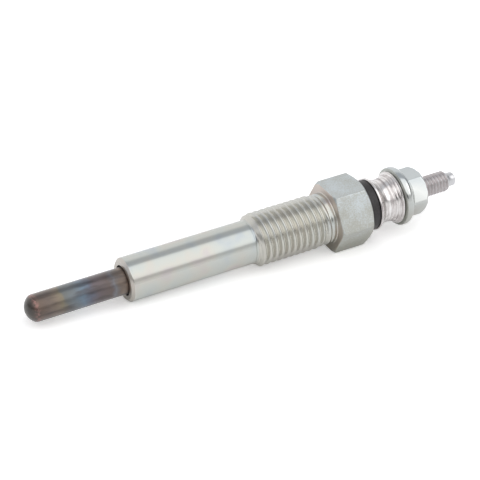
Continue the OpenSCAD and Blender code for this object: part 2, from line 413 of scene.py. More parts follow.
@dataclass(frozen=True)
class ZincPlate(Finish):
    """Bright zinc plate under a clear chromate film, on turned steel and on drawn hexagon bar.

    The plate is a pale grey-green mirror gone soft. The film is as thin as a light wave is long, so it
    shifts towards blue, straw and pink in wide clouds, and its colour moves with height, bluer on top and
    browner below. On the nut that move is painted light: a bright belt at mid height as painted highlight,
    with painted shade above and below. On the bar's own skin the plate is satin and more even, painted
    lighter and bluer on top as painted highlight and darker on the lower flats as painted shade. On the
    thread and on the bare-cut front faces it is thinner and browner, and the bare cuts are painted lighter
    on top and darker below, as painted highlight and shade.
    """

    name: str = "zinc_plate_clear_chromate"
    film: tuple[str, ...] = ("#bec4c7", "#c5c9c6", "#c8cac5", "#cbc9c2", "#c9c4c2")
    film_range: tuple[float, float] = (0.32, 0.68)
    # The skin's grain tones, which with the shift by height also paint a lighter top as painted highlight
    # and darker lower flats as painted shade
    skin: tuple[str, ...] = ("#d0d7da", "#bbbcb6", "#adada4")
    skin_range: tuple[float, float] = (0.26, 0.74)
    # The bare cuts' colours at the top and at the bottom, a painted highlight and painted shade over their
    # browner tone, and how far from the axis those lie
    cut: tuple[str, str] = ("#ded1c9", "#968e80")
    cut_shade_reach_mm: float = 6.0
    groove: str = "#d2d0c9"
    film_mm: float = 5.0
    blotch_mm: float = 3.2
    # The bar's skin has a grain of about 0.05 mm; it is drawn at 0.25 mm so that it shows
    grain_mm: float = 0.25
    grain_share: float = 0.6
    grain_depth_mm: float = 0.012
    # How much further along their colours the film and the skin lie for each millimetre down. On the skin
    # that paints a lighter, bluer top as painted highlight and darker lower flats as painted shade; on the
    # nut's film it paints a bright belt at mid height as painted highlight, with painted shade above and
    # below.
    film_tint_and_shade_per_mm: float = 0.012
    skin_painted_shade_per_mm: float = 0.024
    gloss: float = 0.2
    skin_gloss: float = 0.4
    groove_gloss: float = 0.26
    cut_gloss: float = 0.48

    def shader(self, tree: bpy.types.NodeTree) -> bpy.types.Node:
        """Adds the film, the satin skin, the brown cuts and grooves and the skin's grain, with the painted
        highlight and shade that height gives the skin, the cuts and the nut's film.

        Args:
            tree: The material's node tree.

        Returns:
            The shader.
        """
        put = partial(add, tree)
        place = put("TexCoord").outputs["Object"]
        level = put("SeparateXYZ", {"Vector": place}).outputs["Z"]
        skin_part, cut_part, depth = (
            put("Attribute", attribute_name=mark).outputs["Fac"] for mark in ("skin", "cut", "groove")
        )
        cloud, blotch, grain = (
            put("TexNoise", {"Vector": place, "Scale": per_metre(size)})
            for size in (self.film_mm, self.blotch_mm, self.grain_mm)
        )
        both = put("Mix", {"Factor": self.grain_share, "A": blotch, "B": grain}, data_type="FLOAT")
        # Film and skin move along their ramps with height; on the skin and on the nut's film that is painted
        # highlight and shade
        height_shifted = []
        for noise, height_shift, reach, codes in (
            (cloud, self.film_tint_and_shade_per_mm, self.film_range, self.film),
            (both, self.skin_painted_shade_per_mm, self.skin_range, self.skin),
        ):
            lower = put("Math", {0: level, 1: -height_shift / MM, 2: noise}, operation="MULTIPLY_ADD")
            height_shifted.append(put("ValToRGB", {"Fac": lower}, spread(reach, codes)))
        colour, skin = height_shifted
        # The bare cuts run from a painted highlight at the top to painted shade at the bottom, by height
        edge = self.cut_shade_reach_mm * MM
        lower = put("MapRange", {"Value": level, "From Min": edge, "From Max": -edge})
        bare = put("ValToRGB", {"Fac": lower}, spread((0.0, 1.0), self.cut))
        for part, tone in ((skin_part, skin), (cut_part, bare), (depth, linear(self.groove))):
            colour = put("Mix", {"Factor": part, "A": colour, "B": tone}, data_type="RGBA")
        gloss = self.gloss
        for part, value in (
            (skin_part, self.skin_gloss),
            (depth, self.groove_gloss),
            (cut_part, self.cut_gloss),
        ):
            gloss = put("Mix", {"Factor": part, "A": gloss, "B": value}, data_type="FLOAT")
        height = put("Math", {0: grain, 1: skin_part}, operation="MULTIPLY")
        bump = put("Bump", {"Distance": self.grain_depth_mm * MM, "Height": height})
        return put(
            "BsdfPrincipled", {"Base Color": colour, "Metallic": 1.0, "Roughness": gloss, "Normal": bump}
        )


@dataclass(frozen=True)
class HeatTint(Finish):
    """Drawn nickel alloy with the oxide colours of its first glow.

    The tube is a dark satin metal. Where it grew hot its oxide is thicker, and the colour runs from brown
    at the tip over straw, blue and brown to tan at the housing, in bands with uneven edges.
    """

    start: float
    end: float
    name: str = "heat_tinted_nickel_alloy"
    # Share of the free length from the tip, and the oxide's colour there
    bands: tuple[tuple[float, str], ...] = (
        (0.00, "#4b4843"),
        (0.06, "#524a45"),
        (0.10, "#6a5a50"),
        (0.20, "#6b5e57"),
        (0.30, "#7d7062"),
        (0.345, "#7d7462"),
        (0.375, "#6b6d6b"),
        (0.47, "#6c747a"),
        (0.55, "#697b8b"),
        (0.62, "#606473"),
        (0.68, "#665d61"),
        (0.82, "#655956"),
        (0.845, "#696466"),
        (0.867, "#737379"),
        (0.895, "#6e6866"),
        (0.93, "#71645a"),
        (1.00, "#877568"),
    )
    waver_mm: float = 2.2
    waver_depth_mm: float = 2.6
    # Soot and thicker oxide, in smears along the tube
    veil: str = "#47403f"
    veil_mm: float = 1.1
    veil_length: float = 4.0
    veil_range: tuple[float, float] = (0.46, 0.66)
    veil_share: float = 0.6
    # The shoulder's ring, worn off in flecks
    ring: str = "#94716a"
    fleck_mm: float = 0.45
    fleck_range: tuple[float, float] = (0.36, 0.56)
    # The drawn surface has scratches of about 0.02 mm; they are drawn at 0.25 mm so that they show
    scratch_mm: float = 0.25
    scratch_length: float = 12.0
    scratch_depth_mm: float = 0.004
    gloss: tuple[float, float] = (0.28, 0.42)
    nose_share: float = 0.1
    nose_dullness: float = 0.16
    # The oxide is a thin glaze, with a haze that pales it towards its edges
    glaze: float = 0.6
    glaze_gloss: float = 0.12
    haze: float = 0.25

    def shader(self, tree: bpy.types.NodeTree) -> bpy.types.Node:
        """Adds the bands with their wavering edges, the smears, the worn ring and the drawn scratches.

        Args:
            tree: The material's node tree.

        Returns:
            The shader.
        """
        put = partial(add, tree)
        place = put("TexCoord").outputs["Object"]
        along = put("SeparateXYZ", {"Vector": place}).outputs["X"]
        waver = put("TexNoise", {"Vector": place, "Scale": per_metre(self.waver_mm), "Detail": OCTAVES})
        shift = put("Math", {0: waver, 1: NOISE_MEAN}, operation="SUBTRACT")
        wavy = put("Math", {0: shift, 1: self.waver_depth_mm * MM, 2: along}, operation="MULTIPLY_ADD")
        share = put("MapRange", {"Value": wavy, "From Min": self.start * MM, "From Max": self.end * MM})
        colour = put("ValToRGB", {"Fac": share}, list(self.bands))
        smeared = put("Mapping", {"Vector": place, "Scale": (1.0 / self.veil_length, 1.0, 1.0)})
        smear = put("TexNoise", {"Vector": smeared, "Scale": per_metre(self.veil_mm)})
        low, high = self.veil_range
        veil_part = put(
            "MapRange", {"Value": smear, "From Min": low, "From Max": high, "To Max": self.veil_share}
        )
        fleck = put("TexNoise", {"Vector": place, "Scale": per_metre(self.fleck_mm)})
        low, high = self.fleck_range
        worn = put("MapRange", {"Value": fleck, "From Min": low, "From Max": high})
        shoulder = put("Attribute", attribute_name="ring").outputs["Fac"]
        ring_part = put("Math", {0: shoulder, 1: worn}, operation="MULTIPLY")
        for part, code in ((veil_part, self.veil), (ring_part, self.ring)):
            colour = put("Mix", {"Factor": part, "A": colour, "B": linear(code)}, data_type="RGBA")
        drawn = put("Mapping", {"Vector": place, "Scale": (1.0 / self.scratch_length, 1.0, 1.0)})
        scratch = put("TexNoise", {"Vector": drawn, "Scale": per_metre(self.scratch_mm), "Detail": OCTAVES})
        gloss = put("MapRange", {"Value": scratch, "To Min": self.gloss[0], "To Max": self.gloss[1]})
        dull = put(
            "MapRange",
            {"Value": share, "From Max": self.nose_share, "To Min": self.nose_dullness, "To Max": 0.0},
        )
        gloss = put("Math", {0: gloss, 1: dull}, operation="ADD")
        bump = put("Bump", {"Distance": self.scratch_depth_mm * MM, "Height": scratch})
        return put(
            "BsdfPrincipled",
            {
                "Base Color": colour,
                "Metallic": 1.0,
                "Roughness": gloss,
                "Normal": bump,
                "Coat Weight": self.glaze,
                "Coat Roughness": self.glaze_gloss,
                "Sheen Weight": self.haze,
            },
        )


@dataclass(frozen=True)
class RolledAluminium(Finish):
    """Soft aluminium, rolled down on the pole while it turned.

    The rollers smear the skin round the axis, so it has streaks that run round it, bright where they are
    burnished and grey where they are torn.
    """

    name: str = "rolled_aluminium"
    tones: tuple[str, ...] = ("#9e9798", "#cac4c3", "#e2dedd", "#f4f2f2")
    tone_range: tuple[float, float] = (0.34, 0.62)
    # Roller marks are about 0.05 mm wide; they are drawn at 0.25 mm so that they show
    streak_mm: float = 0.25
    streak_length: float = 25.0
    streak_depth_mm: float = 0.02
    streak_detail: float = 4.0
    tear_mm: float = 1.3
    tear_share: float = 0.3
    # Roughness of the torn and of the burnished skin
    gloss: tuple[float, float] = (0.3, 0.12)

    def shader(self, tree: bpy.types.NodeTree) -> bpy.types.Node:
        """Adds streaks round the axis and torn patches.

        Args:
            tree: The material's node tree.

        Returns:
            The shader.
        """
        put = partial(add, tree)
        place = put("TexCoord").outputs["Object"]
        squeeze = 1.0 / self.streak_length
        drawn = put("Mapping", {"Vector": place, "Scale": (1.0, squeeze, squeeze)})
        streak = put(
            "TexNoise",
            {"Vector": drawn, "Scale": per_metre(self.streak_mm), "Detail": self.streak_detail},
        )
        tear = put("TexNoise", {"Vector": place, "Scale": per_metre(self.tear_mm)})
        both = put("Mix", {"Factor": self.tear_share, "A": streak, "B": tear}, data_type="FLOAT")
        colour = put("ValToRGB", {"Fac": both}, spread(self.tone_range, self.tones))
        low, high = NOISE_RANGE
        torn, burnished = self.gloss
        gloss = put(
            "MapRange",
            {"Value": both, "From Min": low, "From Max": high, "To Min": torn, "To Max": burnished},
        )
        bump = put("Bump", {"Distance": self.streak_depth_mm * MM, "Height": streak})
        return put(
            "BsdfPrincipled", {"Base Color": colour, "Metallic": 1.0, "Roughness": gloss, "Normal": bump}
        )


@dataclass(frozen=True)
class Mottled(Finish):
    """A plain finish with a fine mottle: moulded, pressed or drawn stuff of one colour.

    Two tones in a grain, a slightly uneven gloss and a shallow texture.
    """

    name: str
    tones: tuple[str, str]
    grain_mm: float
    depth_mm: float
    gloss: tuple[float, float]
    metallic: float = 0.0

    def shader(self, tree: bpy.types.NodeTree) -> bpy.types.Node:
        """Adds the grain to the colour, the gloss and the height.

        Args:
            tree: The material's node tree.

        Returns:
            The shader.
        """
        put = partial(add, tree)
        place = put("TexCoord").outputs["Object"]
        grain = put("TexNoise", {"Vector": place, "Scale": per_metre(self.grain_mm), "Detail": OCTAVES})
        colour = put("ValToRGB", {"Fac": grain}, spread(NOISE_RANGE, self.tones))
        gloss = put("MapRange", {"Value": grain, "To Min": self.gloss[0], "To Max": self.gloss[1]})
        bump = put("Bump", {"Distance": self.depth_mm * MM, "Height": grain})
        return put(
            "BsdfPrincipled",
            {"Base Color": colour, "Metallic": self.metallic, "Roughness": gloss, "Normal": bump},
        )


@dataclass(frozen=True)
class WhitePaper(Finish):
    """Matt white paper, exposed until it burns out.

    To the camera it glows on top of the light that falls on it, and in reflections a little, which lifts it
    to plain white and leaves the darkest part of the shadow. It sheds only its own light on the object.
    """

    name: str = "matt_white_paper"
    colour: str = "#fcfcfc"
    shown_colour: str = "#ffffff"
    glow: float = 0.32
    mirrored_glow: float = 0.06

    def shader(self, tree: bpy.types.NodeTree) -> bpy.types.Node:
        """Adds the paper and its glow for the rays that show it.

        Args:
            tree: The material's node tree.

        Returns:
            The shader.
        """
        put = partial(add, tree)
        path = put("LightPath").outputs
        shown = path["Is Camera Ray"]
        rays = {0: path["Is Glossy Ray"], 1: path["Is Transmission Ray"]}
        mirrored = put("Math", rays, operation="MAXIMUM")
        faint = put("Math", {0: mirrored, 1: self.mirrored_glow}, operation="MULTIPLY")
        strength = put("Math", {0: shown, 1: self.glow, 2: faint}, operation="MULTIPLY_ADD")
        glow = put("Emission", {"Strength": strength})
        tones = {"A": linear(self.colour), "B": linear(self.shown_colour)}
        tone = put("Mix", {"Factor": shown, **tones}, data_type="RGBA")
        paper = put("BsdfDiffuse", {"Color": tone})
        return put("AddShader", {0: paper, 1: glow})


@dataclass(frozen=True)
class PoleSteel(Finish):
    """Rolled steel stud with a thin dull plate: violet-grey thread, roots painted a little darker as shade,
    and a bright dog point.
    """

    point_x: float
    name: str = "rolled_pole_steel"
    tones: tuple[str, ...] = ("#bcb6b7", "#c5c1c2", "#ccc9cb")
    # Root colour, a little darker than the tones: painted shade in the thread's roots
    groove: str = "#b9b2b2"
    point: str = "#d6d6d8"
    # Half the length over which the thread's plate gives way to the point's
    blend_mm: float = 0.1
    grain_mm: float = 0.6
    gloss: tuple[float, float] = (0.3, 0.44)
    point_gloss: float = 0.32

    def shader(self, tree: bpy.types.NodeTree) -> bpy.types.Node:
        """Adds the mottle, the brighter point behind point_x and the painted shade in the roots.

        Args:
            tree: The material's node tree.

        Returns:
            The shader.
        """
        put = partial(add, tree)
        place = put("TexCoord").outputs["Object"]
        along = put("SeparateXYZ", {"Vector": place}).outputs["X"]
        depth = put("Attribute", attribute_name="groove").outputs["Fac"]
        grain = put("TexNoise", {"Vector": place, "Scale": per_metre(self.grain_mm), "Detail": OCTAVES})
        colour = put("ValToRGB", {"Fac": grain}, spread(NOISE_RANGE, self.tones))
        low, high = ((self.point_x + way * self.blend_mm) * MM for way in (-1.0, 1.0))
        point_part = put("MapRange", {"Value": along, "From Min": low, "From Max": high})
        for part, code in ((point_part, self.point), (depth, self.groove)):
            colour = put("Mix", {"Factor": part, "A": colour, "B": linear(code)}, data_type="RGBA")
        gloss = put("MapRange", {"Value": grain, "To Min": self.gloss[0], "To Max": self.gloss[1]})
        gloss = put("Mix", {"Factor": point_part, "A": gloss, "B": self.point_gloss}, data_type="FLOAT")
        return put("BsdfPrincipled", {"Base Color": colour, "Metallic": 1.0, "Roughness": gloss})


def place_piece(name: str, surface: Turned, finish: Finish, node: str) -> None:
    """Makes an object of a surface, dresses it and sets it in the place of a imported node.

    Args:
        name: The piece's name.
        surface: Its surface.
        finish: Its finish.
        node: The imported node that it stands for.
    """
    mesh = surface.mesh(name)
    mesh.materials.append(finish.material())
    made = bpy.data.objects.new(name, mesh)
    bpy.context.scene.collection.objects.link(made)
    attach(made, BODY)
    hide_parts(node)
    log.info("%s: %d faces in %s", name, len(mesh.polygons), finish.name)


def dress_node(node: str, finish: Finish) -> None:
    """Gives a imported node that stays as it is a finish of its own.

    Args:
        node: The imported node.
        finish: Its finish.
    """
    material = finish.material()
    for held in frame["nodes"][node].material_slots:
        held.material = material
    log.info("%s: packed solid in %s", node, finish.name)


class SubAssembly(ABC):
    """A group of pieces that are made and fitted together."""

    @abstractmethod
    def build(self) -> None:
        """Builds and dresses the pieces."""


@dataclass
class Housing(SubAssembly):
    """The turned shell: relief bore, shank, mounting thread, neck and hexagon."""

    span: Span
    sheath: Span
    thread: Thread
    thread_start: float
    thread_end: float
    finish: ZincPlate = field(default_factory=ZincPlate)
    shank_r: float = 4.1
    front_chamfer: float = 0.5
    # The tool's groove in front of the thread, and where the thread's rows take over on its lead
    undercut_w: float = 0.4
    undercut_depth: float = 0.12
    lead_guard: float = 0.1
    relief_gap: float = 0.3
    relief_l: float = 4.0
    neck_r: float = 4.8
    neck_l: float = 2.65
    neck_cone: float = 0.2
    runout_l: float = 2.4
    runout_gap: float = 0.6
    fillet: float = 0.5
    hex_edge_r: float = 0.25
    hex_front_cut: float = 0.6
    hex_rear_cut: float = 1.05
    hex_chamfer: float = math.tan(math.radians(30.0))
    edge_break: float = 0.1
    bore_r: float = 2.7
    counterbore_r: float = 3.5
    counterbore_l: float = 4.75
    nose_rounding: float = 0.14
    hex_rounding: float = 0.2
    # How far the plate on the thread's crests differs from that in its grooves
    crest_bright: float = 0.4
    # How bare the plate is on the front's cuts, on the thread's lead and on the hexagon's front face, whose
    # bare colour also carries a painted highlight on top and painted shade below
    front_bare: float = 0.5
    lead_bare: float = 0.28
    face_bare: float = 0.8
    # How far from the hexagon's front face its bare cut ends and the bar's skin starts
    face_reach: float = 0.05
    skin_start: float = 0.04
    # How far inside the front's ring, and from what share of the lead cone's height, a point is on it
    ring_slack: float = 0.01
    lead_share: float = 0.95

    @property
    def lead_x(self) -> float:
        """Where the thread's 45 degree lead starts on the shank."""
        return self.thread_start - (self.thread.crest_r - self.shank_r)

    @property
    def hex_x(self) -> float:
        """Where the hexagon's front face lies."""
        return self.thread_end + self.neck_cone + self.neck_l

    def surface(self) -> Turned:
        """Works out the shell.

        The thread's radius is root + (crest - root) times the ridge's height, under the cone of its lead.
        Behind it the crest drops to the neck's radius, and the grooves run out on the neck, where the root
        eases up to the crest. The hexagon's ends are cut back by cones: a point of radius r starts at tan 30
        times the amount by which r stands out of the face's circle.

        Returns:
            The surface, marked with its bar skin, bare cuts and groove depth.
        """
        bar = Hexagon(2.0 * self.span.radius, self.hex_edge_r)
        phi = bar.angles()
        n = len(phi)
        seat_r = self.sheath.radius
        relief_r = seat_r + self.relief_gap
        lead_x, hex_x, rear_x = self.lead_x, self.hex_x, self.span.end
        undercut_x = lead_x - self.undercut_w
        undercut_r = self.shank_r - self.undercut_depth
        rows_x = lead_x + self.lead_guard
        nose = soften(
            outline(
                n,
                (self.relief_l, seat_r),
                (self.relief_l, relief_r),
                (0.0, relief_r),
                (0.0, self.shank_r - self.front_chamfer),
                (self.front_chamfer, self.shank_r),
                (undercut_x, self.shank_r),
                (undercut_x + self.undercut_depth, undercut_r),
                (lead_x - self.undercut_depth, undercut_r),
                (rows_x, self.shank_r + self.lead_guard),
            ),
            self.nose_rounding,
        )
        neck_x = hex_x - self.neck_l
        run_x = hex_x - self.runout_gap
        x = self.thread.places(rows_x, run_x)[1:]
        late = ease((x - run_x) / self.runout_l + 1.0) ** 2
        crest = np.interp(x, (self.thread_end, neck_x), (self.thread.crest_r, self.neck_r))
        root = self.thread.root_r + (crest - self.thread.root_r) * late
        height = self.thread.height(x, phi)
        ridge = np.minimum(root + (crest - root) * height, self.shank_r + x - lead_x)
        turns = np.stack([x + 0.0 * ridge, ridge], axis=-1)
        hex_r = bar.radius(phi)
        front_r = np.minimum(bar.corner_r - self.hex_front_cut, hex_r - self.edge_break)
        rear_r = np.minimum(bar.corner_r - self.hex_rear_cut, hex_r - self.edge_break)
        front_out = np.maximum((hex_r - front_r) * self.hex_chamfer, self.edge_break)
        rear_out = np.maximum((hex_r - rear_r) * self.hex_chamfer, self.edge_break)
        rear = soften(
            outline(
                n,
                (run_x, self.neck_r),
                (hex_x, self.neck_r),
                (hex_x, front_r),
                (hex_x + front_out, hex_r),
                (rear_x - rear_out, hex_r),
                (rear_x, rear_r),
                (rear_x, self.counterbore_r),
                (rear_x - self.counterbore_l, self.counterbore_r),
                (rear_x - self.counterbore_l, self.bore_r),
                (self.sheath.end, self.bore_r),
                (self.sheath.end, seat_r),
            ),
            (self.fillet, *(self.hex_rounding,) * 8),
        )[1:]
        rows = np.concatenate([nose, turns, rear])
        groove = np.zeros(rows.shape[:2])
        groove[len(nose) : len(nose) + len(turns)] = (1.0 - self.crest_bright * height) * (1.0 - late)
        along, out = rows[..., 0], rows[..., 1]
        skin = (along > hex_x + self.skin_start) & (out > self.counterbore_r)
        front = (along < self.front_chamfer) & (out > relief_r - self.ring_slack)
        on_cone = out > self.shank_r + self.lead_share * (along - lead_x)
        lead = (along > lead_x) & (along < self.thread_start) & on_cone
        face = (np.abs(along - hex_x) < self.face_reach) & (out > self.neck_r)
        cut = self.front_bare * front + self.lead_bare * lead + self.face_bare * face
        return Turned(phi, rows, Ends.LOOP, {"skin": skin, "groove": groove, "cut": cut})

    def build(self) -> None:
        """Builds the shell."""
        place_piece("housing_turned", self.surface(), self.finish, "housing")


@dataclass
class HeaterTube(SubAssembly):
    """The closed heater tube, with the coils, the powder and the seal inside it."""

    span: Span
    nose_h: float = 1.55
    wall: float = 0.55
    weld_l: float = 2.1
    shoulder_blend: float = 0.06
    ring_w: float = 0.4
    rounding: float = 0.1
    # The nose's rows reach over so many of its heights, at the squares of equal steps from the first one
    # to 1, which brings them closer together towards the tip
    nose_reach: float = 2.2
    first_step: float = 0.02
    nose_rows: int = 48
    columns: int = 144

    def surface(self) -> Turned:
        """Works out the tube.

        The nose is a cap of the sphere that is nose_h deep at the tube's radius: at the depth h behind the
        tip its radius is sqrt(2 R h - h^2). The blended minimum of that and the tube's radius, minus b
        times the log of the sum of exp(-radius / b), rounds the shoulder.

        Returns:
            The surface, with the worn ring at its shoulder marked.
        """
        tip, end, out = self.span.start, self.span.end, self.span.radius
        ball = (out**2 + self.nose_h**2) / (2.0 * self.nose_h)
        depth = self.nose_reach * self.nose_h * np.linspace(self.first_step, 1.0, self.nose_rows) ** 2
        cap = np.sqrt(np.maximum(2.0 * ball * depth - depth**2, 0.0))
        cap = np.where(depth < ball, cap, ball)
        blend = self.shoulder_blend
        radius = -blend * np.log(np.exp(-cap / blend) + np.exp(-out / blend))
        nose = outline(self.columns, *zip(tip + depth, radius))
        bore_x, bore_r = tip + self.weld_l, out - self.wall
        rest = soften(
            outline(
                self.columns,
                (tip + depth[-1], radius[-1]),
                (end, out),
                (end, bore_r),
                (bore_x, bore_r),
                (bore_x, HUB_R),
            ),
            self.rounding,
        )[1:]
        rows = np.concatenate([nose, rest])
        ring = np.exp(-(((rows[..., 0] - tip - self.nose_h) / self.ring_w) ** 2))
        return Turned(round_angles(self.columns), rows, Ends.AXIS, {"ring": ring})

    def build(self) -> None:
        """Builds the tube and dresses what it holds."""
        tint = HeatTint(start=self.span.start, end=0.0)
        place_piece("heater_tube_drawn", self.surface(), tint, "heater_sheath")
        wire = Mottled(
            "drawn_resistance_wire",
            ("#7c7774", "#928c88"),
            grain_mm=0.3,
            depth_mm=0.002,
            gloss=(0.3, 0.45),
            metallic=1.0,
        )
        powder = Mottled(
            "compacted_magnesia", ("#ddd8cc", "#ece8de"), grain_mm=0.25, depth_mm=0.01, gloss=(0.8, 0.95)
        )
        rubber = Mottled(
            "moulded_seal_rubber", ("#1d1c1e", "#29282a"), grain_mm=0.4, depth_mm=0.004, gloss=(0.6, 0.75)
        )
        dress_node("heating_coil", wire)
        dress_node("control_coil", wire)
        dress_node("magnesia_fill", powder)
        dress_node("sheath_seal", rubber)


@dataclass
class Insulation(SubAssembly):
    """The stepped black bush behind the hexagon, and the ring that it presses on."""

    span: Span
    housing_end: float
    bore_r: float = 2.05
    spigot_r: float = 3.5
    edge: float = 0.15
    rounding: float = 0.12
    columns: int = 128

    def surface(self) -> Turned:
        """Works out the bush: a spigot in the housing and a flange with broken edges behind it.

        Returns:
            The surface.
        """
        flange_x, end, out = self.housing_end, self.span.end, self.span.radius
        rows = soften(
            outline(
                self.columns,
                (self.span.start, self.bore_r),
                (self.span.start, self.spigot_r),
                (flange_x, self.spigot_r),
                (flange_x, out - self.edge),
                (flange_x + self.edge, out),
                (end - self.edge, out),
                (end, out - self.edge),
                (end, self.bore_r),
            ),
            self.rounding,
        )
        return Turned(round_angles(self.columns), rows, Ends.LOOP)

    def build(self) -> None:
        """Builds the bush and dresses the ring."""
        black = Mottled(
            "moulded_black_phenolic", ("#242223", "#353132"), grain_mm=0.35, depth_mm=0.01, gloss=(0.36, 0.5)
        )
        rubber = Mottled(
            "moulded_ring_rubber", ("#1b1a1c", "#262527"), grain_mm=0.4, depth_mm=0.004, gloss=(0.55, 0.7)
        )
        place_piece("bush_moulded", self.surface(), black, "insulating_bush")
        dress_node("o_ring", rubber)


@dataclass
class Collar(SubAssembly):
    """The aluminium collar, rolled to a waist on the pole, with rolled grooves towards the nut."""

    span: Span
    bore_r: float = 2.05
    front_rim: float = 0.4
    front_rounding: float = 0.14
    rear_rim: float = 0.3
    rear_drop: float = 0.5
    rear_rounding: float = 0.1
    waist_r: float = 4.15
    groove_count: int = 3
    groove_pitch: float = 0.5
    groove_half_w: float = 0.12
    groove_depth: float = 0.1
    waist_rows: int = 110
    columns: int = 160

    def surface(self) -> Turned:
        """Works out the collar: two rims, the waist between them and the bore.

        The waist is an arc through the two rims' edges and the waist's bottom: with the half width h and
        the depth d, the arc's radius R is (h^2 + d^2) / 2 d, and the surface lies at
        waist_r + R - sqrt(R^2 - s^2) at the distance s from the middle. Each groove takes off a bell of
        its depth and width.

        Returns:
            The surface.
        """
        n, start, end, out = self.columns, self.span.start, self.span.end, self.span.radius
        low, high = start + self.front_rim, end - self.rear_rim
        half, depth = (high - low) / 2.0, out - self.waist_r
        arc = (half**2 + depth**2) / (2.0 * depth)
        x = np.linspace(low, high, self.waist_rows)
        away = x - (low + high) / 2.0
        middles = high - (np.arange(self.groove_count) + 0.5) * self.groove_pitch
        bells = np.exp(-(((x[:, None] - middles) / self.groove_half_w) ** 2)).sum(axis=1)
        radius = self.waist_r + arc - np.sqrt(arc**2 - away**2) - self.groove_depth * bells
        waist = outline(n, *zip(x, radius))
        front = soften(outline(n, (start, self.bore_r), (start, out), (low, out)), self.front_rounding)
        behind = ((high, out), (end, out - self.rear_drop), (end, self.bore_r))
        rear = soften(outline(n, *behind), self.rear_rounding)
        rows = np.concatenate([front[:-1], waist, rear[1:]])
        return Turned(round_angles(n), rows, Ends.LOOP)

    def build(self) -> None:
        """Builds the collar."""
        place_piece("collar_rolled", self.surface(), RolledAluminium(), "crimp_collar")


